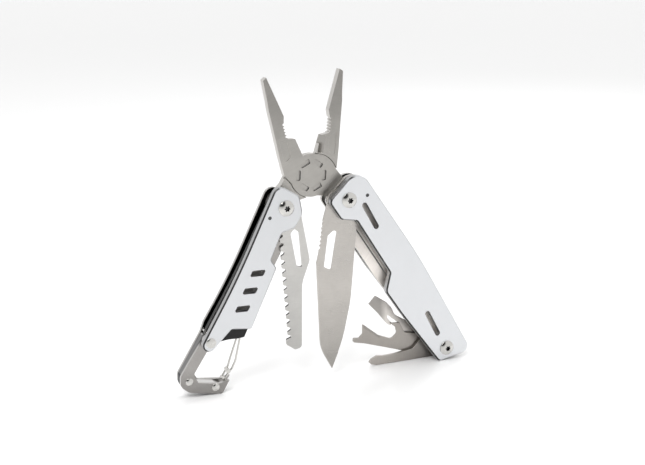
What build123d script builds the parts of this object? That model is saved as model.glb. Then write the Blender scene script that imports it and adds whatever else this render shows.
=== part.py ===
"""Folding-plier multi tool, standing on the ends of its two open handles.

X runs across the open handles, Y from front (-) to back (+), Z up. Millimetres. The origin is
the centre of the foot print of the bounding box, on the surface that the tool stands on.
"""

import os
from math import asin, cos, radians, sin

from build123d import *

os.makedirs("parts", exist_ok=True)

# ---- driving dimensions -------------------------------------------------------------------
JAW_PIVOT = (-6.937, 95.363)   # x, z of the plier pivot
JAW_AXIS = 93.6                # direction in which the closed jaws point, degrees in XZ
JAW_OPEN = 20.6                # how far each jaw is opened from that direction
FRONT_TANG_ANGLE = 150.7       # from a jaw's own axis to its tang hole
REAR_TANG_ANGLE = 146.2
TANG_REACH = 19.0              # plier pivot to handle pivot
LEFT_ANGLE = -119.1            # direction of the left handle, from its pivot down
RIGHT_ANGLE = -56.85
RIGHT_LENGTH = 92.9            # right handle pivot to tool pivot
SAW_ANGLE = -85.0
KNIFE_ANGLE = -95.4
PHILLIPS_ANGLE = 185.3
OPENER_ANGLE = 166.7
DRIVER_ANGLE = 143.6

MID = 2.91                     # y of the middle of the plier plates
CAVITY = 4.0                   # gap between the liners
JAW_THICK = 3.6
WASHER = 0.15                  # thickness of the washers beside a tang
LINER = 1.6
BLADE_GAP = 2.5                # gap between front liner and scale
SCALE = 3.0
SCALE_BEVEL = 0.6
BLADE = 1.1                    # thickness of saw and knife
SLIDE_GAP = 0.1                # between a blade and the wall that it slides along
WASHER_GAP = 0.05
HEAD = 1.6                     # height of a screw's dome
REAR_HEAD = 1.2
RIVET_DOME = 0.9
LAP_GAP = 0.05                 # half of the gap between the two laps

LINER_BACK = MID - CAVITY / 2              # rear face of the front liner
LINER_FRONT = LINER_BACK - LINER
SCALE_BACK = LINER_FRONT - BLADE_GAP
SCALE_FRONT = SCALE_BACK - SCALE
REAR_FRONT = MID + CAVITY / 2              # front face of the rear liner
REAR_BACK = REAR_FRONT + LINER
SAW_BACK = LINER_FRONT - SLIDE_GAP
KNIFE_FRONT = SCALE_BACK + SLIDE_GAP

BARREL_R = 2.3
SCREW_R = 1.4
SCREW_BORE_R = 1.45
PIVOT_HOLE_R = 2.35
HEAD_R = 3.5
STOP_R = 0.85
RIVET_R = 1.3
RIVET_DOME_R = 1.8
DISC_R = 9.75                  # plier disc


def along(point, angle, reach):
    """The point in XZ that lies `reach` from `point` in the direction `angle`."""
    return (point[0] + reach * cos(radians(angle)), point[1] + reach * sin(radians(angle)))


def face_plane(point, angle, y, to_front=True):
    """Plane at depth y with its x along `angle` and its z to the front or to the rear."""
    x_dir = (cos(radians(angle)), 0, sin(radians(angle)))
    return Plane(origin=(point[0], y, point[1]), x_dir=x_dir, z_dir=(0, -1 if to_front else 1, 0))


def polar(radius, angle):
    return (radius * cos(radians(angle)), radius * sin(radians(angle)))


def outline(*corners, mode=Mode.ADD):
    """Face in the current sketch. A corner is (x, y, fillet radius)."""
    with BuildLine() as line:
        points = [corner[:2] for corner in corners]
        FilletPolyline(*points, radius=[corner[2] for corner in corners], close=True)
    make_face(line.edges(), mode=mode)


def closed(*points, mode=Mode.ADD):
    """Face in the current sketch with sharp corners."""
    with BuildLine() as line:
        Polyline(*points, close=True)
    make_face(line.edges(), mode=mode)


def dome(point, y, radius, height):
    """Adds a round head at depth y; a negative height points to the front."""
    side = Plane(origin=(point[0], y, point[1]), x_dir=(1, 0, 0), z_dir=(0, 0, 1))
    rim = 0.25 * height
    rise = height - rim
    ball = (radius ** 2 + rise ** 2) / (2 * rise)
    half_turn = asin(radius / ball) / 2
    shoulder = (ball * sin(half_turn), height - ball + ball * cos(half_turn))
    with BuildSketch(side) as profile:
        with BuildLine() as line:
            Polyline((0, height), (0, 0), (radius, 0), (radius, rim))
            ThreePointArc((radius, rim), shoulder, (0, height))
        make_face(line.edges())
    revolve(profile.sketch, axis=Axis((point[0], y, point[1]), (0, 1, 0)))


def rod(point, y_front, y_back, radius, mode=Mode.ADD):
    """Adds or cuts a cylinder that runs along Y from y_front to y_back."""
    with BuildSketch(face_plane(point, 0, y_back)) as section:
        Circle(radius)
    extrude(section.sketch, amount=y_back - y_front, mode=mode)


def grind(plane, start, end, width, depth):
    """Cuts a slanted flat to the left of the line start-end: nothing there, `depth` at `width`."""
    origin = plane.from_local_coords(Vector(*start))
    run = plane.from_local_coords(Vector(*end)) - origin
    lift = 0.2
    section = Plane(origin=origin, x_dir=plane.z_dir.cross(run), z_dir=run)
    with BuildSketch(section) as wedge:
        closed((0, 0), (width, -depth), (width, lift), (0, lift))
    extrude(wedge.sketch, amount=run.length, mode=Mode.SUBTRACT)


def ring(point, y_front, y_back, radius, hole):
    rod(point, y_front, y_back, radius)
    rod(point, y_front, y_back, hole, mode=Mode.SUBTRACT)


LEFT = along(JAW_PIVOT, JAW_AXIS - JAW_OPEN + REAR_TANG_ANGLE, TANG_REACH)
RIGHT = along(JAW_PIVOT, JAW_AXIS + JAW_OPEN - FRONT_TANG_ANGLE, TANG_REACH)
TOOLS = along(RIGHT, RIGHT_ANGLE, RIGHT_LENGTH)


def left(y):
    """Plane of the left handle: x from its pivot towards the hook, y to its inner side."""
    return face_plane(LEFT, LEFT_ANGLE, y)


def right(y):
    """Plane of the right handle: x from its pivot towards the tools, y to its outer side."""
    return face_plane(RIGHT, RIGHT_ANGLE, y)


def spot(plane, x, y):
    """The point (x, y) of a handle's plane, as x and z of the tool."""
    point = plane.from_local_coords(Vector(x, y, 0))
    return (point.X, point.Z)


# ---- plier head ---------------------------------------------------------------------------
JAW_RIVET_R = 2.0
JAW_RIVET_HEAD_R = 3.4
JAW_RIVET_HEAD = 0.6
JAW_RIVET_SKIN = 0.6           # metal left over the rivet's blind end
CAM_START = 40                 # a lap's rim grows from DISC_R here ...
CAM_END = 105                  # ... to CAM_R here, which stops the opened pliers
CAM_R = 12.15
RIM_GAP = 0.35
TANG_R = 6.0
POCKETS = 6
POCKET_RING_R = 6.1
POCKET_START = 58              # angle of one pocket from the jaw's axis
POCKET_DEPTH = 0.8
FACET_DEPTH = 0.25
CUTTER_WIDTH = 3.0
CUTTER_DEPTH = 3.1
GRIP_TEETH = 5
GRIP_PITCH = 1.35
GRIP_R = 0.55
HALF = JAW_THICK / 2


def cam_rim(angle, gap):
    part_way = (angle - CAM_START) / (CAM_END - CAM_START)
    return polar(DISC_R + gap + (CAM_R - DISC_R) * part_way, angle)


def jaw_outline():
    """Jaw seen flat: x towards the tip, y towards the other jaw, 0 where the two meet."""
    outline(
        (48.4, -0.1, 0), (29.8, -0.1, 0.6), (26.5, -1.7, 5), (20.0, -2.9, 0.8), (18.3, 0.3, 0.3),
        (6.0, 0.3, 0), (0.0, -2.0, 0), (0.8, -9.6, 0), (5.7, -11.2, 1.2), (14.0, -9.7, 12),
        (24.6, -7.4, 20), (35.2, -5.2, 0.6), (38.6, -4.2, 0.6), (43.8, -2.9, 6), (47.9, -1.9, 0.6),
    )


def jaw_facet():
    """Forged flat at the root of a jaw."""
    closed((21.8, -6.5), (11.6, -8.5), (11.2, -6.9), (12.6, -4.8), (18.6, -3.7))


def tang_outline(start, tang_angle):
    """Tang round its pivot hole; its outer edge leaves the disc at `start`."""
    centre = Vector(*polar(TANG_REACH, tang_angle))
    outer, end, inner = [centre + Vector(*polar(TANG_R, tang_angle + a)) for a in (-90, 0, 90)]
    with BuildLine() as line:
        Polyline(start, (-6.8, 12.6), outer)
        ThreePointArc(outer, end, inner)
        Polyline(inner, (-12.0, 2.6), (-9.6, -1.6), (0, 0), start)
    make_face(line.edges())


def jaw_half(plane, tang_angle):
    """A jaw, its lap and its tang. `plane` is the mid plane, with z towards the other lap."""
    middle = (CAM_START + CAM_END) / 2
    with BuildPart() as jaw:
        # the lap: this layer alone crosses the disc
        with BuildSketch(plane.offset(-HALF)):
            Circle(DISC_R)
            jaw_outline()
            tang_outline(cam_rim(CAM_END, 0), tang_angle)
            with BuildLine() as cam:
                Line((0, 0), cam_rim(CAM_START, 0))
                ThreePointArc(cam_rim(CAM_START, 0), cam_rim(middle, 0), cam_rim(CAM_END, 0))
                Line(cam_rim(CAM_END, 0), (0, 0))
            make_face(cam.edges())
        extrude(amount=HALF - LAP_GAP)
        # the jaw at full thickness, beyond the other lap's rim
        with BuildSketch(plane.offset(-HALF)):
            jaw_outline()
            Circle(DISC_R + RIM_GAP, mode=Mode.SUBTRACT)
            with BuildLine() as rim:
                rest = 2 * JAW_OPEN
                ends = [cam_rim(a, RIM_GAP) for a in (CAM_START, middle, CAM_END)]
                turned = [Vector(x, -y).rotate(Axis.Z, rest) for x, y in ends]
                Line((0, 0), turned[0])
                ThreePointArc(*turned)
                Polyline(turned[2], (6.5, -14), (-6, -14), (0, 0))
            make_face(rim.edges(), mode=Mode.SUBTRACT)
        extrude(amount=JAW_THICK)
        # the tang at full thickness, clear of the other lap's root
        with BuildSketch(plane.offset(-HALF)):
            tang_outline((-4.2, 12.0), tang_angle)
            Circle(DISC_R + RIM_GAP, mode=Mode.SUBTRACT)
            closed((-6.3, 7.7), (-2.5, 14.3), (3, 14.3), (0, 0), mode=Mode.SUBTRACT)
        extrude(amount=JAW_THICK)
        # pivot hole, grip teeth and the shallow pockets round the disc
        with BuildSketch(plane.offset(-HALF)):
            with Locations(polar(TANG_REACH, tang_angle)):
                Circle(PIVOT_HOLE_R)
            with Locations(*[(21.0 + i * GRIP_PITCH, -2.8 + 0.26 * i) for i in range(GRIP_TEETH)]):
                Circle(GRIP_R)
        extrude(amount=JAW_THICK, mode=Mode.SUBTRACT)
        with BuildSketch(plane.offset(-HALF)):
            with PolarLocations(POCKET_RING_R, POCKETS, start_angle=POCKET_START):
                RectangleRounded(2.3, 4.7, 0.7)
        extrude(amount=POCKET_DEPTH, mode=Mode.SUBTRACT)
        with BuildSketch(plane.offset(-HALF)):
            jaw_facet()
        extrude(amount=FACET_DEPTH, mode=Mode.SUBTRACT)
        with BuildSketch(plane.offset(HALF)):
            jaw_facet()
        extrude(amount=-FACET_DEPTH, mode=Mode.SUBTRACT)
        grind(plane.offset(HALF), (10.9, -3.2), (18.7, -2.2), CUTTER_WIDTH, CUTTER_DEPTH)
    return jaw


front_plane = face_plane(JAW_PIVOT, JAW_AXIS + JAW_OPEN, MID, to_front=False)
rear_plane = face_plane(JAW_PIVOT, JAW_AXIS - JAW_OPEN, MID)
RIVET_FRONT = MID - HALF + JAW_RIVET_SKIN
HEAD_FRONT = MID + HALF - JAW_RIVET_HEAD

with BuildPart() as front_jaw:
    add(jaw_half(front_plane, FRONT_TANG_ANGLE).part)
    rod(JAW_PIVOT, RIVET_FRONT, MID, JAW_RIVET_R, mode=Mode.SUBTRACT)

with BuildPart() as rear_jaw:
    add(jaw_half(rear_plane, REAR_TANG_ANGLE).part)
    rod(JAW_PIVOT, MID - HALF, MID + HALF, JAW_RIVET_R + WASHER_GAP, mode=Mode.SUBTRACT)
    rod(JAW_PIVOT, HEAD_FRONT - WASHER_GAP, MID + HALF, JAW_RIVET_HEAD_R + WASHER_GAP, mode=Mode.SUBTRACT)

with BuildPart() as jaw_rivet:
    rod(JAW_PIVOT, RIVET_FRONT, MID + HALF, JAW_RIVET_R)
    rod(JAW_PIVOT, HEAD_FRONT, MID + HALF, JAW_RIVET_HEAD_R)

# ---- left handle: scale, liners and carabiner ---------------------------------------------
END_RIVET = (67.2, -4.1)
HOOK_RIVETS = ((87.9, -2.9), (86.0, 9.7))
LEFT_STOP = (6.9, -4.9)
SEAT_PIN = (64.7, -5.6)
LEFT_SLOTS = ((31.0, 1.5), (39.4, 1.9), (48.0, 2.4))
GATE_HINGE = (58.6, 9.2)
GATE_NOSE = (81.7, 12.4)
GATE_FRONT_BENDS = ((61.0, 10.5), (72.0, 13.6), (75.8, 13.8))
GATE_REAR_BENDS = ((62.6, 10.5), (72.5, 12.0), (75.9, 12.7))
GATE_KNOB = (77.6, 12.7)
GATE_WIRE_R = 0.48
GATE_HALF_WIDTH = 1.4
GATE_HALF_REACH = 1.9
GATE_BAR_R = 0.7
GATE_KNOB_R = 1.0
GATE_SLOT = 1.3


with BuildPart() as left_front_scale:
    with BuildSketch(left(SCALE_BACK)):
        outline(
            (-7.9, -8.6, 4.0), (-7.3, 3.2, 3.0), (-1.0, 8.4, 4.0), (6.3, 8.0, 2.5), (10.6, 3.4, 2.5),
            (23.4, 4.4, 1.6), (25.6, 8.6, 2.0), (54.8, 10.6, 1.2), (58.2, 2.0, 1.4), (71.4, -2.0, 2.6),
            (71.3, -7.2, 3.0), (36.0, -6.2, 400),
        )
        Circle(SCREW_BORE_R, mode=Mode.SUBTRACT)
        with Locations(LEFT_STOP):
            Circle(STOP_R, mode=Mode.SUBTRACT)
        with Locations(END_RIVET):
            Circle(RIVET_R, mode=Mode.SUBTRACT)
        for x, y in LEFT_SLOTS:
            outline(
                (x + 3.0, y - 2.9, 0.7), (x - 0.1, y - 2.9, 0.7), (x - 3.0, y + 2.7, 0.7),
                (x + 0.1, y + 2.7, 0.7),
                mode=Mode.SUBTRACT,
            )
    extrude(amount=SCALE)
    chamfer(left_front_scale.faces().sort_by(Axis.Y)[0].outer_wire().edges(), SCALE_BEVEL)

with BuildPart() as left_front_liner:
    with BuildSketch(left(LINER_BACK)):
        outline(
            (-6.9, -6.8, 3.2), (-3.0, 8.0, 4.6), (8.0, 8.0, 4), (20.0, 9.4, 6), (53.6, 9.4, 0.8),
            (56.6, 3.9, 1.0), (70.8, -1.5, 2.0), (84.2, -2.5, 1.6), (87.0, 1.1, 1.4),
            (84.0, 10.4, 0.8), (80.8, 14.2, 0), (87.8, 14.1, 1.8), (92.5, -0.6, 4.0), (91.4, -5.6, 3.0),
            (87.2, -7.6, 3.0), (69.7, -6.3, 6), (62.0, -6.9, 4), (36.0, -5.9, 400),
        )
        Circle(BARREL_R, mode=Mode.SUBTRACT)
        with Locations(END_RIVET, *HOOK_RIVETS):
            Circle(RIVET_R, mode=Mode.SUBTRACT)
        with Locations(SEAT_PIN):
            Circle(0.7, mode=Mode.SUBTRACT)
    extrude(amount=LINER)

with BuildPart() as left_rear_liner:
    with BuildSketch(left(REAR_BACK)):
        outline(
            (-7.4, -8.0, 4.2), (-3.0, 8.2, 4.6), (8.0, 8.2, 4), (20.0, 9.4, 6), (54.5, 9.4, 2),
            (57.4, 5.0, 1.0), (70.4, -1.4, 2.0), (83.8, -1.9, 1.6), (86.7, 2.2, 1.4),
            (83.0, 12.0, 0.8), (79.9, 15.9, 0), (86.8, 15.0, 1.8), (92.3, -0.8, 4.0), (91.2, -5.4, 3.0),
            (87.4, -7.4, 3.0), (66.5, -6.4, 3), (61.5, -7.1, 3), (38.0, -5.8, 300),
        )
        Circle(BARREL_R, mode=Mode.SUBTRACT)
        with Locations(END_RIVET, *HOOK_RIVETS):
            Circle(RIVET_R, mode=Mode.SUBTRACT)
        with Locations(SEAT_PIN):
            Circle(0.7, mode=Mode.SUBTRACT)
    extrude(amount=LINER)

with BuildPart() as hook_spacer:
    with BuildSketch(left(REAR_FRONT)):
        outline(
            (66.2, -6.2, 0.6), (66.2, -0.6, 0.8), (70.6, -1.6, 1.0), (84.2, -2.3, 1.6), (87.0, 1.4, 1.4),
            (84.6, 8.6, 0.8), (84.6, 13.2, 0.4), (87.0, 13.6, 1.0), (92.4, -0.7, 4.0), (91.3, -5.5, 3.0),
            (87.3, -7.5, 3.0),
        )
        with Locations(*HOOK_RIVETS):
            Circle(RIVET_R, mode=Mode.SUBTRACT)
        with Locations(END_RIVET):
            Circle(RIVET_R, mode=Mode.SUBTRACT)
    extrude(amount=CAVITY)

with BuildPart() as gate_seat:
    with BuildSketch(left(REAR_FRONT)):
        outline(
            (66.2, 1.6, 0), (60.2, 4.2, 0), (57.4, 6.6, 0), (56.4, 11.2, 0.6), (60.3, 11.5, 0.8),
            (61.9, 9.0, 1.2), (64.0, 4.9, 0),
        )
    extrude(amount=CAVITY)
    with BuildSketch(left(LINER_BACK)):
        outline(
            (66.3, 1.6, 0), (57.5, 5.0, 0), (55.2, 9.6, 0.3), (55.2, 11.2, 0.6), (60.3, 11.5, 0.8),
            (61.9, 9.0, 1.2), (64.0, 4.9, 0),
        )
    extrude(amount=LINER)
    rod(spot(left(MID), *GATE_HINGE), LINER_BACK, REAR_FRONT, GATE_BAR_R + WASHER_GAP, mode=Mode.SUBTRACT)
    for level in (-GATE_HALF_WIDTH, GATE_HALF_WIDTH):
        with BuildSketch(left(MID + level + GATE_SLOT / 2)):
            closed((57.6, 10.2), (60.5, 13.0), (66.6, 13.0), (66.6, 0.5), (61.2, 1.6), (57.6, 8.2))
        extrude(amount=GATE_SLOT, mode=Mode.SUBTRACT)

with BuildPart() as seat_pin:
    rod(spot(left(MID), *SEAT_PIN), LINER_FRONT, REAR_BACK, 0.7)

with BuildPart() as wire_gate:
    for level, bends in ((-GATE_HALF_WIDTH, GATE_FRONT_BENDS), (GATE_HALF_WIDTH, GATE_REAR_BENDS)):
        with BuildLine(left(MID + level)) as leg:
            FilletPolyline(GATE_HINGE, *bends, GATE_NOSE, radius=[2.0, 6.0, 2.0])
        with BuildSketch(Plane(origin=leg.line @ 0, z_dir=leg.line % 0)):
            Circle(GATE_WIRE_R)
        sweep(path=leg.line)
    rod(spot(left(MID), *GATE_NOSE), MID - GATE_HALF_REACH, MID + GATE_HALF_REACH, GATE_BAR_R)
    rod(spot(left(MID), *GATE_HINGE), MID - GATE_HALF_REACH, MID + GATE_HALF_REACH, GATE_BAR_R)
    rod(spot(left(MID), *GATE_KNOB), MID - GATE_HALF_REACH, MID + GATE_HALF_REACH, GATE_KNOB_R)

with BuildPart() as hook_rivets:
    for x, y in HOOK_RIVETS:
        place = spot(left(MID), x, y)
        rod(place, LINER_FRONT, REAR_BACK, RIVET_R)
        dome(place, LINER_FRONT, RIVET_DOME_R, -RIVET_DOME)
        dome(place, REAR_BACK, RIVET_DOME_R, RIVET_DOME)

with BuildPart() as left_end_rivet:
    place = spot(left(MID), *END_RIVET)
    rod(place, SCALE_FRONT, REAR_BACK, RIVET_R)
    dome(place, SCALE_FRONT, 2.3, -0.8)
    dome(place, REAR_BACK, 2.3, 0.8)

with BuildPart() as left_end_bush:
    ring(spot(left(MID), *END_RIVET), SCALE_BACK, LINER_FRONT, 2.6, RIVET_R)


# ---- pivots -------------------------------------------------------------------------------
TORX_R = 0.95
TORX_LOBE_R = 0.42
TORX_DEPTH = 1.3
SCREW_LENGTH = 7.0
WASHER_R = 4.2


def pivot_screw(point):
    """Button-head screw that holds the scale on the barrel; its socket has six lobes."""
    with BuildPart() as screw:
        dome(point, SCALE_FRONT, HEAD_R, -HEAD)
        rod(point, SCALE_FRONT, SCALE_FRONT + SCREW_LENGTH, SCREW_R)
        with BuildSketch(face_plane(point, 0, SCALE_FRONT - HEAD + TORX_DEPTH)):
            Circle(TORX_R)
            with PolarLocations(TORX_R, 6):
                Circle(TORX_LOBE_R)
        extrude(amount=TORX_DEPTH + 0.1, mode=Mode.SUBTRACT)
    return screw


def pivot_barrel(point):
    """Sleeve with a domed head behind the rear liner, bored for the screw."""
    with BuildPart() as barrel:
        dome(point, REAR_BACK, HEAD_R, REAR_HEAD)
        rod(point, SCALE_BACK, REAR_BACK, BARREL_R)
        rod(point, SCALE_BACK, SCALE_FRONT + SCREW_LENGTH + 0.4, SCREW_BORE_R, mode=Mode.SUBTRACT)
    return barrel


left_pivot_screw = pivot_screw(LEFT)
right_pivot_screw = pivot_screw(RIGHT)
tool_pivot_screw = pivot_screw(TOOLS)
left_pivot_barrel = pivot_barrel(LEFT)
right_pivot_barrel = pivot_barrel(RIGHT)
tool_pivot_barrel = pivot_barrel(TOOLS)

with BuildPart() as left_tang_washers:
    ring(LEFT, LINER_BACK, LINER_BACK + WASHER, WASHER_R, BARREL_R)
    ring(LEFT, REAR_FRONT - WASHER, REAR_FRONT, WASHER_R, BARREL_R)

with BuildPart() as right_tang_washers:
    ring(RIGHT, LINER_BACK, LINER_BACK + WASHER, WASHER_R, BARREL_R)
    ring(RIGHT, REAR_FRONT - WASHER, REAR_FRONT, WASHER_R, BARREL_R)

with BuildPart() as saw_washer:
    ring(LEFT, SCALE_BACK, SAW_BACK - BLADE - WASHER_GAP, WASHER_R, BARREL_R)

with BuildPart() as knife_washer:
    ring(RIGHT, KNIFE_FRONT + BLADE + WASHER_GAP, LINER_FRONT, WASHER_R, BARREL_R)

with BuildPart() as tool_end_bush:
    ring(TOOLS, SCALE_BACK, LINER_FRONT, WASHER_R, BARREL_R)

with BuildPart() as left_stop_pin:
    rod(spot(left(MID), *LEFT_STOP), SCALE_FRONT + 0.2, LINER_FRONT, STOP_R)


# ---- right handle -------------------------------------------------------------------------
RIGHT_STOP = (3.7, 8.2)
LOCK_BAR_CUT = 0.6


def thumb_slot(x, y, length, width, angle):
    """Cuts a long round-ended slot in the current sketch; (x, y) is its middle."""
    with Locations(Location((x, y, 0), angle)):
        SlotOverall(length, width, mode=Mode.SUBTRACT)


with BuildPart() as right_front_scale:
    with BuildSketch(right(SCALE_BACK)):
        outline(
            (-9.6, 12.0, 6.8), (45.0, 13.2, 300), (103.2, 9.8, 3.6), (96.2, -6.8, 2.6), (62.0, -9.1, 30),
            (48.0, -9.4, 3.4), (41.6, -2.7, 1.6), (10.4, -2.3, 1.4), (5.1, -8.0, 2.4), (-5.3, -8.1, 2.6),
        )
        Circle(SCREW_BORE_R, mode=Mode.SUBTRACT)
        with Locations((RIGHT_LENGTH, 0)):
            Circle(SCREW_BORE_R, mode=Mode.SUBTRACT)
        with Locations(RIGHT_STOP):
            Circle(STOP_R, mode=Mode.SUBTRACT)
        thumb_slot(12.6, 4.2, 14.4, 2.6, -4)
        thumb_slot(77.3, 0.8, 14.6, 2.6, -5.5)
    extrude(amount=SCALE)
    chamfer(right_front_scale.faces().sort_by(Axis.Y)[0].outer_wire().edges(), SCALE_BEVEL)

with BuildPart() as right_front_liner:
    with BuildSketch(right(LINER_BACK)):
        outline(
            (-8.9, 11.5, 6.4), (45.0, 12.2, 300), (101.8, 8.9, 3.4), (95.8, -6.4, 2.0), (56.0, -7.4, 20),
            (44.0, -8.6, 10), (-5.0, -8.2, 2.6),
        )
        Circle(BARREL_R, mode=Mode.SUBTRACT)
        with Locations((RIGHT_LENGTH, 0)):
            Circle(BARREL_R, mode=Mode.SUBTRACT)
        # the lock bar is cut free along its back and its front end
        with Locations((31.0, -3.6)):
            Rectangle(38.0, LOCK_BAR_CUT, mode=Mode.SUBTRACT)
        with Locations((12.3, -6.3)):
            Rectangle(LOCK_BAR_CUT, 6.0, mode=Mode.SUBTRACT)
    extrude(amount=LINER)

with BuildPart() as right_rear_liner:
    with BuildSketch(right(REAR_BACK)):
        outline(
            (-8.2, 11.6, 6.4), (45.0, 12.6, 300), (102.2, 9.2, 3.4), (96.3, -6.6, 2.0), (57.0, -6.9, 20),
            (36.0, -8.2, 20), (-5.0, -8.4, 2.8),
        )
        Circle(BARREL_R, mode=Mode.SUBTRACT)
        with Locations((RIGHT_LENGTH, 0)):
            Circle(BARREL_R, mode=Mode.SUBTRACT)
    extrude(amount=LINER)

with BuildPart() as right_end_spacer:
    with BuildSketch(right(REAR_FRONT)):
        outline((72.0, 8.2, 0.5), (72.0, 10.0, 0.5), (97.0, 8.7, 0.5), (97.0, 7.4, 0.5))
    extrude(amount=CAVITY)

with BuildPart() as right_stop_pin:
    rod(spot(right(MID), *RIGHT_STOP), SCALE_FRONT + 0.2, LINER_FRONT, STOP_R)


# ---- blades and tools ---------------------------------------------------------------------
SAW_TEETH = 12
SAW_PITCH = 4.0
SAW_FIRST = 11.9
SAW_EDGE = -3.05               # the toothed edge starts here ...
SAW_SLOPE = -0.02              # ... and drops by this much per millimetre
KNIFE_GRIND = ((11.6, -2.4), (72.0, -4.8))
KNIFE_GRIND_WIDTH = 12.0
KNIFE_GRIND_DEPTH = 0.58
JIMPING = 8
PHILLIPS = 1.4                 # thicknesses of the three tools in the right cavity
OPENER = 1.1
DRIVER = 1.1
PHILLIPS_BACK = MID - 0.5
OPENER_BACK = MID + 0.7
DRIVER_BACK = MID + 1.9

with BuildPart() as saw_blade:
    with BuildSketch(face_plane(LEFT, SAW_ANGLE, SAW_BACK)):
        outline(
            (-4.6, 5.6, 3.0), (-1.6, 7.6, 1.0), (6.5, 8.2, 20), (26.8, 10.0, 2.0), (37.0, 5.2, 14),
            (67.2, 1.9, 1.6), (67.7, -1.4, 1.4), (64.3, -5.3, 0.8), (61.9, -5.0, 0.5), (61.3, -2.7, 0.3),
            (60.4, -2.7, 0), (59.9, -4.05, 0), (9.0, -3.0, 1.5), (5.0, -5.6, 3.0), (-5.6, -5.0, 4.2),
        )
        Circle(PIVOT_HOLE_R, mode=Mode.SUBTRACT)
        outline(
            (11.0, 4.2, 1.0), (13.0, 2.2, 0.8), (28.4, 3.5, 0.6), (29.4, 6.1, 0.6), (13.4, 6.3, 1.0),
            mode=Mode.SUBTRACT,
        )
        for tooth in range(SAW_TEETH):
            tip = SAW_FIRST + tooth * SAW_PITCH
            edge = SAW_EDGE + SAW_SLOPE * (tip - SAW_FIRST)
            outline(
                (tip, edge - 0.4, 0), (tip + 1.0, edge + 1.7, 0.3), (tip + 1.8, edge + 1.4, 0.3),
                (tip + 2.7, edge - 0.4, 0),
                mode=Mode.SUBTRACT,
            )
    extrude(amount=BLADE)

with BuildPart() as knife_blade:
    with BuildSketch(face_plane(RIGHT, KNIFE_ANGLE, KNIFE_FRONT + BLADE)):
        outline(
            (-2.3, -8.6, 0.8), (3.6, -9.4, 6), (10.0, -10.6, 8), (25.3, -11.4, 6), (29.6, -12.1, 1.4),
            (36.0, -11.3, 8), (70.1, -6.9, 20), (80.2, -0.3, 0), (66.0, 4.1, 60), (48.0, 6.4, 60),
            (11.4, 6.3, 1.2), (8.6, 2.0, 3), (4.5, 5.4, 3), (-5.4, 5.2, 5.0), (-5.6, -3.0, 3),
        )
        Circle(PIVOT_HOLE_R, mode=Mode.SUBTRACT)
        outline(
            (14.1, -4.9, 1.2), (16.9, -7.8, 1.0), (31.4, -8.5, 0.7), (33.0, -4.7, 0.7), (15.5, -3.3, 1.0),
            mode=Mode.SUBTRACT,
        )
        with Locations(*[(8.6 + 2.0 * i, -11.1 - 0.045 * i) for i in range(JIMPING)]):
            Circle(0.75, mode=Mode.SUBTRACT)
    extrude(amount=BLADE)
    front_face = face_plane(RIGHT, KNIFE_ANGLE, KNIFE_FRONT)
    rear_face = face_plane(RIGHT, KNIFE_ANGLE, KNIFE_FRONT + BLADE, to_front=False)
    (start_x, start_y), (end_x, end_y) = KNIFE_GRIND
    grind(front_face, (start_x, start_y), (end_x, end_y), KNIFE_GRIND_WIDTH, KNIFE_GRIND_DEPTH)
    grind(rear_face, (end_x, -end_y), (start_x, -start_y), KNIFE_GRIND_WIDTH, KNIFE_GRIND_DEPTH)

with BuildPart() as phillips_driver:
    with BuildSketch(face_plane(TOOLS, PHILLIPS_ANGLE, PHILLIPS_BACK)):
        outline(
            (37.9, 0.8, 0.3), (36.6, -0.6, 0), (33.4, -1.6, 0.6), (30.4, -0.8, 1), (25.0, -0.4, 6),
            (14.6, -0.8, 3), (9.0, -5.6, 3), (-6.0, -6.0, 5.6), (-6.0, 5.8, 5.4), (3.6, 5.9, 6),
            (34.4, 2.7, 0.8), (36.9, 1.9, 0),
        )
        Circle(PIVOT_HOLE_R, mode=Mode.SUBTRACT)
    extrude(amount=PHILLIPS)

with BuildPart() as can_opener:
    with BuildSketch(face_plane(TOOLS, OPENER_ANGLE, OPENER_BACK)):
        outline(
            (42.7, -5.3, 0.3), (33.0, -0.6, 3), (25.8, 0.5, 2), (23.6, -2.6, 1.4), (25.0, -5.4, 0.8),
            (28.4, -7.1, 0.3), (23.4, -7.9, 0.4), (19.6, -3.2, 2), (12.0, -3.6, 3), (7.0, -6.2, 2),
            (-6.0, -6.0, 5.6), (-6.0, 6.0, 5.6), (14.0, 6.4, 8), (22.5, 5.4, 10), (39.8, 3.9, 5),
            (45.7, 3.9, 0.8), (45.9, 1.9, 0.5), (43.1, 1.6, 0.6), (41.6, -0.6, 0.8),
        )
        Circle(PIVOT_HOLE_R, mode=Mode.SUBTRACT)
    extrude(amount=OPENER)
    grind(face_plane(TOOLS, OPENER_ANGLE, OPENER_BACK - OPENER), (43.2, -4.1), (32.3, 0.8), 1.6, 0.7)

with BuildPart() as slotted_driver:
    with BuildSketch(face_plane(TOOLS, DRIVER_ANGLE, DRIVER_BACK)):
        outline(
            (43.0, -2.6, 0.2), (36.7, -2.9, 1), (32.7, -2.1, 3), (28.6, 0.0, 4), (21.0, -0.6, 8),
            (11.0, -5.2, 5), (-6.0, -6.0, 5.6), (-6.0, 6.0, 5.6), (12.0, 6.4, 5), (21.6, 5.0, 3),
            (24.2, 2.3, 1.0), (32.4, 2.0, 0.3), (31.0, 3.4, 0.8), (27.6, 4.1, 0.3), (27.4, 5.5, 0.3),
            (29.8, 5.6, 2), (36.9, 3.7, 6), (43.6, 2.4, 0.2),
        )
        Circle(PIVOT_HOLE_R, mode=Mode.SUBTRACT)
    extrude(amount=DRIVER)
    grind(face_plane(TOOLS, DRIVER_ANGLE, DRIVER_BACK - DRIVER), (36.3, 5.0), (36.3, -4.0), 9.0, 0.45)


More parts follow.
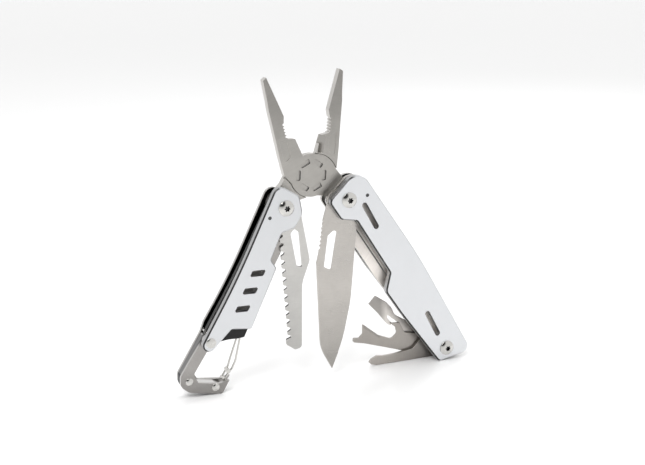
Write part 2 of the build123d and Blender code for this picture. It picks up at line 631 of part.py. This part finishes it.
# ---- files --------------------------------------------------------------------------------
pieces = {
    "front_jaw": front_jaw,
    "rear_jaw": rear_jaw,
    "jaw_rivet": jaw_rivet,
    "left_front_scale": left_front_scale,
    "left_front_liner": left_front_liner,
    "left_rear_liner": left_rear_liner,
    "hook_spacer": hook_spacer,
    "gate_seat": gate_seat,
    "seat_pin": seat_pin,
    "wire_gate": wire_gate,
    "hook_rivets": hook_rivets,
    "left_end_rivet": left_end_rivet,
    "left_end_bush": left_end_bush,
    "left_pivot_screw": left_pivot_screw,
    "left_pivot_barrel": left_pivot_barrel,
    "left_tang_washers": left_tang_washers,
    "left_stop_pin": left_stop_pin,
    "saw_washer": saw_washer,
    "saw_blade": saw_blade,
    "right_front_scale": right_front_scale,
    "right_front_liner": right_front_liner,
    "right_rear_liner": right_rear_liner,
    "right_end_spacer": right_end_spacer,
    "right_pivot_screw": right_pivot_screw,
    "right_pivot_barrel": right_pivot_barrel,
    "right_tang_washers": right_tang_washers,
    "right_stop_pin": right_stop_pin,
    "knife_washer": knife_washer,
    "knife_blade": knife_blade,
    "tool_pivot_screw": tool_pivot_screw,
    "tool_pivot_barrel": tool_pivot_barrel,
    "tool_end_bush": tool_end_bush,
    "phillips_driver": phillips_driver,
    "can_opener": can_opener,
    "slotted_driver": slotted_driver,
}
for name, piece in pieces.items():
    piece.part.label = name
    export_step(piece.part, f"parts/{name}.step")
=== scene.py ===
"""Looks of the folding-plier multi tool: satin aluminium scales, brushed steel and white studio."""
import math

import bpy
from mathutils import Matrix, Vector


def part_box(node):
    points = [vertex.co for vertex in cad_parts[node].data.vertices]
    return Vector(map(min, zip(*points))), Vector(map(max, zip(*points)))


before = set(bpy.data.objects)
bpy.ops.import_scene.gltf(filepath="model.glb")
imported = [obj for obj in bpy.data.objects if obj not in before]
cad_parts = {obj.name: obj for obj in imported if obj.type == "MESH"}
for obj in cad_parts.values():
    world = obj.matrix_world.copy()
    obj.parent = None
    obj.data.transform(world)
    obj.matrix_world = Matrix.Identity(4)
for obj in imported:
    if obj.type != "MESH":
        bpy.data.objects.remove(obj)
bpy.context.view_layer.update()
scene = bpy.context.scene
MM = 0.001


# ---- camera -------------------------------------------------------------------------------
AZIMUTH = -22.387              # degrees, from the front towards the left handle
ELEVATION = 14.566
ROLL = -0.695
DISTANCE = 0.4762
TARGET = Vector((-0.001055, 0.00291, 0.0681))
LENS = 58.613
SENSOR = 36.0


def add_camera():
    azimuth, elevation = math.radians(AZIMUTH), math.radians(ELEVATION)
    back = Vector((
        math.sin(azimuth) * math.cos(elevation),
        -math.cos(azimuth) * math.cos(elevation),
        math.sin(elevation),
    ))
    level = Vector((math.cos(azimuth), math.sin(azimuth), 0))
    up = back.cross(level)
    roll = math.radians(ROLL)
    right = level * math.cos(roll) + up * math.sin(roll)
    data = bpy.data.cameras.new("camera")
    data.lens = LENS
    data.sensor_width = SENSOR
    data.clip_start = 0.01
    camera = bpy.data.objects.new("camera", data)
    camera.location = TARGET + back * DISTANCE
    camera.rotation_euler = Matrix((right, back.cross(right), back)).transposed().to_euler()
    scene.collection.objects.link(camera)
    scene.camera = camera


# ---- studio -------------------------------------------------------------------------------
WORLD_STRENGTH = 1.0
DARK_SPOT = Vector((-0.42, -0.68, 0.61)).normalized()   # the dark room round the photographer
DARK_SPOT_EDGE = (0.78, 0.94)
FLOOR_SIZE = 12.0


def add_world():
    """White all round, with one dark spot above the camera that domed heads pick up."""
    world = bpy.data.worlds.new("studio")
    scene.world = world
    world.use_nodes = True
    nodes, links = world.node_tree.nodes, world.node_tree.links
    nodes.clear()
    output = nodes.new("ShaderNodeOutputWorld")
    background = nodes.new("ShaderNodeBackground")
    coordinates = nodes.new("ShaderNodeTexCoord")
    dot = nodes.new("ShaderNodeVectorMath")
    dot.operation = "DOT_PRODUCT"
    dot.inputs[1].default_value = DARK_SPOT
    ramp = nodes.new("ShaderNodeMapRange")
    ramp.interpolation_type = "SMOOTHSTEP"
    ramp.inputs["From Min"].default_value = DARK_SPOT_EDGE[0]
    ramp.inputs["From Max"].default_value = DARK_SPOT_EDGE[1]
    ramp.inputs["To Min"].default_value = 1.0
    ramp.inputs["To Max"].default_value = 0.02
    links.new(coordinates.outputs["Generated"], dot.inputs[0])
    links.new(dot.outputs["Value"], ramp.inputs["Value"])
    links.new(ramp.outputs["Result"], background.inputs["Color"])
    background.inputs["Strength"].default_value = WORLD_STRENGTH
    links.new(background.outputs["Background"], output.inputs["Surface"])


def add_area(name, place, aim, size, power):
    data = bpy.data.lights.new(name, "AREA")
    data.energy = power
    data.size = size
    light = bpy.data.objects.new(name, data)
    light.location = place
    light.rotation_euler = (Vector(place) - Vector(aim)).to_track_quat("Z", "Y").to_euler()
    scene.collection.objects.link(light)


def add_floor():
    mesh = bpy.data.meshes.new("floor")
    half = FLOOR_SIZE / 2
    corners = [(-half, -half, 0), (half, -half, 0), (half, half, 0), (-half, half, 0)]
    mesh.from_pydata(corners, [], [(0, 1, 2, 3)])
    floor = bpy.data.objects.new("floor", mesh)
    scene.collection.objects.link(floor)
    material = bpy.data.materials.new("floor_white")
    material.use_nodes = True
    shader = material.node_tree.nodes["Principled BSDF"]
    shader.inputs["Base Color"].default_value = (0.975, 0.975, 0.975, 1)
    shader.inputs["Roughness"].default_value = 0.22
    shader.inputs["Specular IOR Level"].default_value = 0.35
    mesh.materials.append(material)


# ---- materials ----------------------------------------------------------------------------
def new_material(name):
    material = bpy.data.materials.new(name)
    material.use_nodes = True
    tree = material.node_tree
    shader = tree.nodes["Principled BSDF"]
    return material, tree, shader


def math_node(tree, operation, first, second=None, clamp=False):
    node = tree.nodes.new("ShaderNodeMath")
    node.operation = operation
    node.use_clamp = clamp
    for socket, value in zip(node.inputs, (first, second)):
        if value is None:
            continue
        if isinstance(value, (int, float)):
            socket.default_value = value
        else:
            tree.links.new(value, socket)
    return node.outputs[0]


def noise_node(tree, vector, scale, detail=3.0, roughness=0.6):
    node = tree.nodes.new("ShaderNodeTexNoise")
    node.inputs["Scale"].default_value = scale
    node.inputs["Detail"].default_value = detail
    node.inputs["Roughness"].default_value = roughness
    tree.links.new(vector, node.inputs["Vector"])
    return node.outputs["Fac"]


def range_node(tree, value, low, high, to_low, to_high):
    node = tree.nodes.new("ShaderNodeMapRange")
    node.inputs["From Min"].default_value = low
    node.inputs["From Max"].default_value = high
    node.inputs["To Min"].default_value = to_low
    node.inputs["To Max"].default_value = to_high
    tree.links.new(value, node.inputs["Value"])
    return node.outputs["Result"]


def mix_colour(tree, factor, first, second):
    node = tree.nodes.new("ShaderNodeMix")
    node.data_type = "RGBA"
    tree.links.new(factor, node.inputs["Factor"])
    for name, value in (("A", first), ("B", second)):
        socket = [s for s in node.inputs if s.name == name and s.type == "RGBA"][0]
        if isinstance(value, tuple):
            socket.default_value = (*value, 1)
        else:
            tree.links.new(value, socket)
    return [s for s in node.outputs if s.type == "RGBA"][0]


def object_coordinates(tree):
    return tree.nodes.new("ShaderNodeTexCoord").outputs["Object"]


def stretched(tree, angle, along, across):
    """Object coordinates turned by `angle` in XZ, so that noise runs in lines that way."""
    turn = tree.nodes.new("ShaderNodeMapping")
    turn.inputs["Rotation"].default_value = (0, math.radians(angle), 0)
    tree.links.new(object_coordinates(tree), turn.inputs["Vector"])
    squeeze = tree.nodes.new("ShaderNodeMapping")
    squeeze.inputs["Scale"].default_value = (along, across, across)
    tree.links.new(turn.outputs["Vector"], squeeze.inputs["Vector"])
    return squeeze.outputs["Vector"]


def edge_mask(tree, radius):
    """1 along edges: where a rounded normal leaves the face's own normal."""
    bevel = tree.nodes.new("ShaderNodeBevel")
    bevel.samples = 6
    bevel.inputs["Radius"].default_value = radius
    geometry = tree.nodes.new("ShaderNodeNewGeometry")
    dot = tree.nodes.new("ShaderNodeVectorMath")
    dot.operation = "DOT_PRODUCT"
    tree.links.new(bevel.outputs["Normal"], dot.inputs[0])
    tree.links.new(geometry.outputs["Normal"], dot.inputs[1])
    mask = range_node(tree, dot.outputs["Value"], 0.999, 0.90, 0.0, 1.0)
    return bevel.outputs["Normal"], mask


def normal_part(tree, axis):
    """One component of the surface normal."""
    geometry = tree.nodes.new("ShaderNodeNewGeometry")
    parts = tree.nodes.new("ShaderNodeSeparateXYZ")
    tree.links.new(geometry.outputs["Normal"], parts.inputs[0])
    return parts.outputs[axis]


def times(tree, colour, low, high, axis, first, last):
    """Colour that is scaled by `first` at `low` on an axis and by `last` at `high`, in metres."""
    parts = tree.nodes.new("ShaderNodeSeparateXYZ")
    tree.links.new(object_coordinates(tree), parts.inputs[0])
    factor = range_node(tree, parts.outputs[axis], low, high, first, last)
    scale = tree.nodes.new("ShaderNodeVectorMath")
    scale.operation = "SCALE"
    tree.links.new(colour, scale.inputs[0])
    tree.links.new(factor, scale.inputs["Scale"])
    return scale.outputs[0]


def tint(tree, mask, colour):
    """Mixes `colour` over the shader's base colour where `mask` is 1."""
    socket = tree.nodes["Principled BSDF"].inputs["Base Color"]
    tree.links.new(mix_colour(tree, mask, socket.links[0].from_socket, colour), socket)


def metal(name, colour, roughness, angle=None, grain=0.02, edge=0.00015, edge_wear_and_highlight_gain=1.25, painted_shade_side=0,
          side=None, cloud=1.0, painted_shading=None, painted_shade_from=None, bevel=None):
    """Worn metal: grain or brushing, blotches in colour and gloss, and bright edges, partly rubbed wear and
    partly painted highlight.

    angle is the direction of the brushing in XZ, or None for a blasted surface. painted_shade_side of
    1 or -1 paints near-black shade on the faces that look to the rear or to the front, above height
    painted_shade_from if that is given. side is a colour painted on the cut edges round a plate for the
    light and shade that fall on them, bevel a painted shade colour for the chamfer on its left. fade is
    (axis, low, high, first, last) for times(), a painted light and shade ramp. cloud scales the blotches.
    """
    material, tree, shader = new_material(name)
    shader.inputs["Metallic"].default_value = 1.0
    if angle is None:
        vector = object_coordinates(tree)
        fine = noise_node(tree, vector, 5200.0, 2.0)
    else:
        fine = noise_node(tree, stretched(tree, angle, 160.0, 5200.0), 1.0, 3.0)
    blotch = noise_node(tree, object_coordinates(tree), 130.0, 4.0)
    rounded, edges = edge_mask(tree, edge)
    dark = tuple((1 - 0.06 * cloud) * c for c in colour)
    light = tuple(min(1.0, (1 + 0.05 * cloud) * c) for c in colour)
    base = mix_colour(tree, range_node(tree, blotch, 0.35, 0.65, 0, 1), dark, light)
    streak = tuple((1 - 0.14 * cloud) * c for c in colour)
    fine_dark = mix_colour(tree, range_node(tree, fine, 0.3, 0.7, 0.0, 0.5), base, streak)
    # Painted light and shade: the colour is darkened or brightened along one axis.
    if painted_shading:
        axis, low, high, first, last = painted_shading
        fine_dark = times(tree, fine_dark, low, high, axis, first, last)
    # Painted light and shade on the cut edges round a plate, by the way they face.
    if side:
        flat = math_node(tree, "ABSOLUTE", normal_part(tree, "Y"))
        fine_dark = mix_colour(tree, range_node(tree, flat, 0.75, 0.45, 0, 1), fine_dark, side)
    # Edges made brighter: partly rubbed wear, partly painted highlight.
    worn_and_highlit = mix_colour(tree, edges, fine_dark, tuple(min(1.0, edge_wear_and_highlight_gain * c) for c in colour))
    # Painted shade on the chamfer on the left of a plate.
    if bevel:
        tilt = math_node(tree, "ABSOLUTE", normal_part(tree, "Y"))
        steep = math_node(tree, "MULTIPLY", range_node(tree, tilt, 0.62, 0.66, 0, 1),
                          range_node(tree, tilt, 0.80, 0.76, 0, 1))
        leftward = range_node(tree, normal_part(tree, "X"), -0.05, -0.25, 0, 1)
        worn_and_highlit = mix_colour(tree, math_node(tree, "MULTIPLY", steep, leftward), worn_and_highlit, bevel)
    rough = math_node(tree, "ADD", range_node(tree, fine, 0.2, 0.8, -0.05, 0.05), roughness)
    rough = math_node(tree, "ADD", rough, range_node(tree, blotch, 0.2, 0.8, -0.03, 0.03), clamp=True)
    bump = tree.nodes.new("ShaderNodeBump")
    bump.inputs["Strength"].default_value = grain
    bump.inputs["Distance"].default_value = 0.0001
    tree.links.new(fine, bump.inputs["Height"])
    tree.links.new(rounded, bump.inputs["Normal"])
    tree.links.new(bump.outputs["Normal"], shader.inputs["Normal"])
    # Painted shade, near black, on the faces that look into the handle's cavity.
    if painted_shade_side:
        cavity_shade = range_node(tree, normal_part(tree, "Y"), 0.6 * painted_shade_side, 0.8 * painted_shade_side, 0.0, 1.0)
        if painted_shade_from is not None:
            parts = tree.nodes.new("ShaderNodeSeparateXYZ")
            tree.links.new(object_coordinates(tree), parts.inputs[0])
            above = range_node(tree, parts.outputs["Z"], painted_shade_from, painted_shade_from + 2 * MM, 0.0, 1.0)
            cavity_shade = math_node(tree, "MULTIPLY", cavity_shade, above)
        cavity_shade = math_node(tree, "MULTIPLY", cavity_shade, math_node(tree, "SUBTRACT", 1.0, edges))
        worn_and_highlit = mix_colour(tree, cavity_shade, worn_and_highlit, (0.006, 0.006, 0.006))
    tree.links.new(worn_and_highlit, shader.inputs["Base Color"])
    tree.links.new(rough, shader.inputs["Roughness"])
    return material


def plastic(name, colour, roughness):
    """Moulded black plastic with a fine texture."""
    material, tree, shader = new_material(name)
    vector = object_coordinates(tree)
    grain = noise_node(tree, vector, 3000.0, 3.0)
    cloud = noise_node(tree, vector, 200.0, 3.0)
    lighter = tuple(1.8 * c for c in colour)
    tree.links.new(mix_colour(tree, cloud, colour, lighter), shader.inputs["Base Color"])
    rough = range_node(tree, grain, 0.2, 0.8, roughness - 0.08, roughness + 0.08)
    tree.links.new(rough, shader.inputs["Roughness"])
    bump = tree.nodes.new("ShaderNodeBump")
    bump.inputs["Strength"].default_value = 0.15
    bump.inputs["Distance"].default_value = 0.00005
    tree.links.new(grain, bump.inputs["Height"])
    tree.links.new(bump.outputs["Normal"], shader.inputs["Normal"])
    return material


def reach_from(tree, centre):
    """Object coordinates, and the distance in XZ from the axis at `centre` (x, z)."""
    parts = tree.nodes.new("ShaderNodeSeparateXYZ")
    tree.links.new(object_coordinates(tree), parts.inputs[0])
    x = math_node(tree, "SUBTRACT", parts.outputs["X"], centre[0])
    z = math_node(tree, "SUBTRACT", parts.outputs["Z"], centre[1])
    squares = [math_node(tree, "MULTIPLY", value, value) for value in (x, z)]
    return parts, math_node(tree, "SQRT", math_node(tree, "ADD", *squares))


def screw_metal(name, centre):
    """Polished steel; painted shade darkens the socket near the axis at `centre` (x, z)."""
    material = metal(name, CHROME, 0.13, grain=0.01, edge=0.0002)
    tree = material.node_tree
    parts, reach = reach_from(tree, centre)
    inside = range_node(tree, reach, 1.42 * MM, 1.36 * MM, 0.0, 1.0)
    depth = range_node(tree, parts.outputs["Y"], SCREW_TOP + 0.05 * MM, SCREW_TOP + 0.3 * MM, 0.0, 1.0)
    socket = math_node(tree, "MULTIPLY", inside, depth)
    tint(tree, socket, SOCKET_SHADE)
    return material


def pocket_metal(material, centre, reach_limit):
    """Paints shade on the walls of the pockets round the axis at `centre` (x, z)."""
    tree = material.node_tree
    _, reach = reach_from(tree, centre)
    near = range_node(tree, reach, reach_limit + 0.2 * MM, reach_limit, 0.0, 1.0)
    wall = range_node(tree, math_node(tree, "ABSOLUTE", normal_part(tree, "Y")), 0.6, 0.4, 0.0, 1.0)
    tint(tree, math_node(tree, "MULTIPLY", near, wall), SHADE)
    return material


def paint_light_and_shade_upward(material, colour, low, high):
    """Gives the faces that look upward another colour: painted light when it is lighter, painted shade when
    darker.
    """
    tree = material.node_tree
    upward = range_node(tree, normal_part(tree, "Z"), low, high, 0.0, 1.0)
    tint(tree, upward, colour)
    return material


def shade_side(material, colour, above):
    """Darkens the cut edge on the left of a plate, above a height."""
    tree = material.node_tree
    parts = tree.nodes.new("ShaderNodeSeparateXYZ")
    tree.links.new(object_coordinates(tree), parts.inputs[0])
    high = range_node(tree, parts.outputs["Z"], above, above + 2 * MM, 0.0, 1.0)
    mask = math_node(tree, "MULTIPLY", high, range_node(tree, normal_part(tree, "X"), -0.3, -0.6, 0.0, 1.0))
    tint(tree, mask, colour)
    return material


def paint_nodes(material, *names):
    for name in names:
        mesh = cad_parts[name].data
        mesh.materials.clear()
        mesh.materials.append(material)


def centre_of(node):
    low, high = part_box(node)
    return ((low[0] + high[0]) / 2, (low[2] + high[2]) / 2)


def direction(first, second):
    """Angle in XZ of the line between the middles of two nodes."""
    (x0, z0), (x1, z1) = centre_of(first), centre_of(second)
    return math.degrees(math.atan2(z1 - z0, x1 - x0))


SCREW_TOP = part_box("left_pivot_screw")[0][1]
LEFT_ANGLE = direction("left_pivot_barrel", "left_end_bush")
RIGHT_ANGLE = direction("right_pivot_barrel", "tool_end_bush")

SCALE_SILVER = (0.70, 0.71, 0.725)
# The side colours below are painted light and shade on cut edges: darker on the scales, lighter on the jaws
# and liners.
SCALE_SIDE_SHADE = (0.42, 0.42, 0.425)
# Painted shade on the chamfer along the left of the scales.
SCALE_BEVEL_SHADE = (0.06, 0.06, 0.06)
JAW_STEEL = (0.42, 0.405, 0.38)
JAW_SIDE_LIGHT = (0.56, 0.545, 0.52)
KNIFE_STEEL = (0.53, 0.505, 0.475)
SAW_STEEL = (0.56, 0.55, 0.53)
TOOL_STEEL = (0.385, 0.36, 0.335)
DRIVER_STEEL = (0.50, 0.475, 0.45)
LINER_STEEL = (0.38, 0.365, 0.35)
# Painted light: the right front liner's steel is made much lighter than the left liners' for the light it
# catches in the notch.
NOTCH_STEEL_LIT = (0.74, 0.70, 0.66)
LINER_SIDE_LIGHT = (0.50, 0.49, 0.475)
CHROME = (0.62, 0.61, 0.585)
WASHER_STEEL = (0.40, 0.39, 0.38)
SHADE = (0.02, 0.02, 0.02)
SOCKET_SHADE = (0.05, 0.05, 0.05)
PIN_STEEL = (0.10, 0.10, 0.10)
# Painted light: the right rear liner's steel is made much lighter than the left rear liner's.
REAR_PLATE_STEEL_LIT = (0.72, 0.71, 0.69)
MOULDING_BLACK = (0.004, 0.004, 0.004)
# Hook spacer: painted shade colour for its sides and painted light colour for its top faces.
SPACER_SHADED = (0.02, 0.021, 0.024)
SPACER_LIT = (0.62, 0.61, 0.60)
CHANNEL_END = 24 * MM          # height at which the painted shade of the left handle's channel ends
POCKET_REACH = 9.0 * MM        # the disc's pockets lie within this of the plier pivot


def dress_frame():
    left, right = -LEFT_ANGLE, -RIGHT_ANGLE
    # Each row: material name, node, and a painted light and shade ramp along Z, or None.
    for name, node, painted_shading in (
        ("scale_left", "left_front_scale", ("Z", 20 * MM, 90 * MM, 0.98, 0.92)),
        ("scale_right", "right_front_scale", None),
    ):
        paint_nodes(metal(name, SCALE_SILVER, 0.38, None, 0.02, 0.0002, 1.25, side=SCALE_SIDE_SHADE,
                          cloud=0.25, painted_shading=painted_shading, bevel=SCALE_BEVEL_SHADE), node)
    # Painted shade on the jaws: darker towards the top.
    jaw_painted_shading = ("Z", 98 * MM, 130 * MM, 1.0, 0.72)
    pivot = centre_of("jaw_rivet")
    for name, angle, nodes in (
        ("jaw_front", 24.0, ("front_jaw",)),
        ("jaw_rear", -19.0, ("rear_jaw", "jaw_rivet")),
    ):
        steel = metal(name, JAW_STEEL, 0.36, angle, 0.05, side=JAW_SIDE_LIGHT, painted_shading=jaw_painted_shading)
        paint_nodes(pocket_metal(steel, pivot, POCKET_REACH), *nodes)
    # Painted light and shade ramps along one axis are given to several parts below.
    paint_nodes(metal("knife_steel", KNIFE_STEEL, 0.30, -4.9, 0.05,
                      painted_shading=("Z", 6 * MM, 40 * MM, 0.72, 0.94)), "knife_blade")
    saw = metal("saw_steel", SAW_STEEL, 0.32, 3.9, 0.05, painted_shading=("Z", 12 * MM, 70 * MM, 0.84, 1.0))
    # Painted shade, near black, on the saw's faces that look upward.
    paint_nodes(paint_light_and_shade_upward(saw, SHADE, 0.25, 0.40), "saw_blade")
    paint_nodes(metal("driver_steel", DRIVER_STEEL, 0.34, 53.9, 0.05,
                      painted_shading=("X", 28.5 * MM, 31.5 * MM, 0.70, 1.35)), "slotted_driver")
    paint_nodes(metal("opener_steel", TOOL_STEEL, 0.34, 76.9, 0.05), "can_opener")
    paint_nodes(metal("phillips_steel", TOOL_STEEL, 0.34, 95.8, 0.05,
                      painted_shading=("X", 30 * MM, 52 * MM, 1.2, 0.6)), "phillips_driver")
    plate = metal("left_liner_front", LINER_STEEL, 0.34, left, 0.05, painted_shade_side=1, side=LINER_SIDE_LIGHT,
                  painted_shading=("Z", 4 * MM, 14 * MM, 0.75, 1.0))
    paint_nodes(shade_side(plate, SHADE, CHANNEL_END), "left_front_liner")
    paint_nodes(metal("left_liner_rear", LINER_STEEL, 0.34, left, 0.05, 0.0005, 1.1, painted_shade_side=-1,
                      side=LINER_SIDE_LIGHT, painted_shade_from=CHANNEL_END), "left_rear_liner")
    paint_nodes(metal("right_liner_front", NOTCH_STEEL_LIT, 0.46, right, 0.05, painted_shade_side=1, side=LINER_SIDE_LIGHT,
                      painted_shading=("Z", 50 * MM, 68 * MM, 1.3, 0.85)),
                "right_front_liner")
    paint_nodes(metal("right_liner_rear", REAR_PLATE_STEEL_LIT, 0.34, right, 0.05, 0.0004, 1.1, painted_shade_side=-1,
                      side=JAW_SIDE_LIGHT, painted_shade_from=86 * MM), "right_rear_liner")
    for side in ("left", "right", "tool"):
        screw = f"{side}_pivot_screw"
        paint_nodes(screw_metal(f"{side}_screw_chrome", centre_of(screw)), screw)
    polished = metal("polished_steel", CHROME, 0.14, None, 0.01, 0.0002)
    paint_nodes(polished, "left_pivot_barrel", "right_pivot_barrel", "tool_pivot_barrel", "hook_rivets",
                "left_end_rivet", "seat_pin", "wire_gate")
    turned = metal("turned_steel", WASHER_STEEL, 0.3, None, 0.02)
    paint_nodes(turned, "left_end_bush", "tool_end_bush", "left_tang_washers", "right_tang_washers",
                "saw_washer", "knife_washer")
    pins = metal("dark_pin_steel", PIN_STEEL, 0.4, None, 0.02)
    paint_nodes(pins, "left_stop_pin", "right_stop_pin")
    # Hook spacer: painted shade on its sides, painted light on its faces that look upward.
    spacer = metal("spacer_steel", SPACER_SHADED, 0.40, left, 0.04, 0.0001, 1.4)
    paint_nodes(paint_light_and_shade_upward(spacer, SPACER_LIT, 0.45, 0.75), "hook_spacer")
    paint_nodes(plastic("black_moulding", MOULDING_BLACK, 0.62), "gate_seat", "right_end_spacer")


scene.view_settings.view_transform = "Standard"
add_camera()
add_world()
add_area("key", (-0.5, -0.5, 0.9), (0, 0, 0.06), 0.5, 6.0)
add_area("rim", (0.6, 0.5, 0.7), (0, 0, 0.06), 0.5, 2.5)
add_floor()
dress_frame()
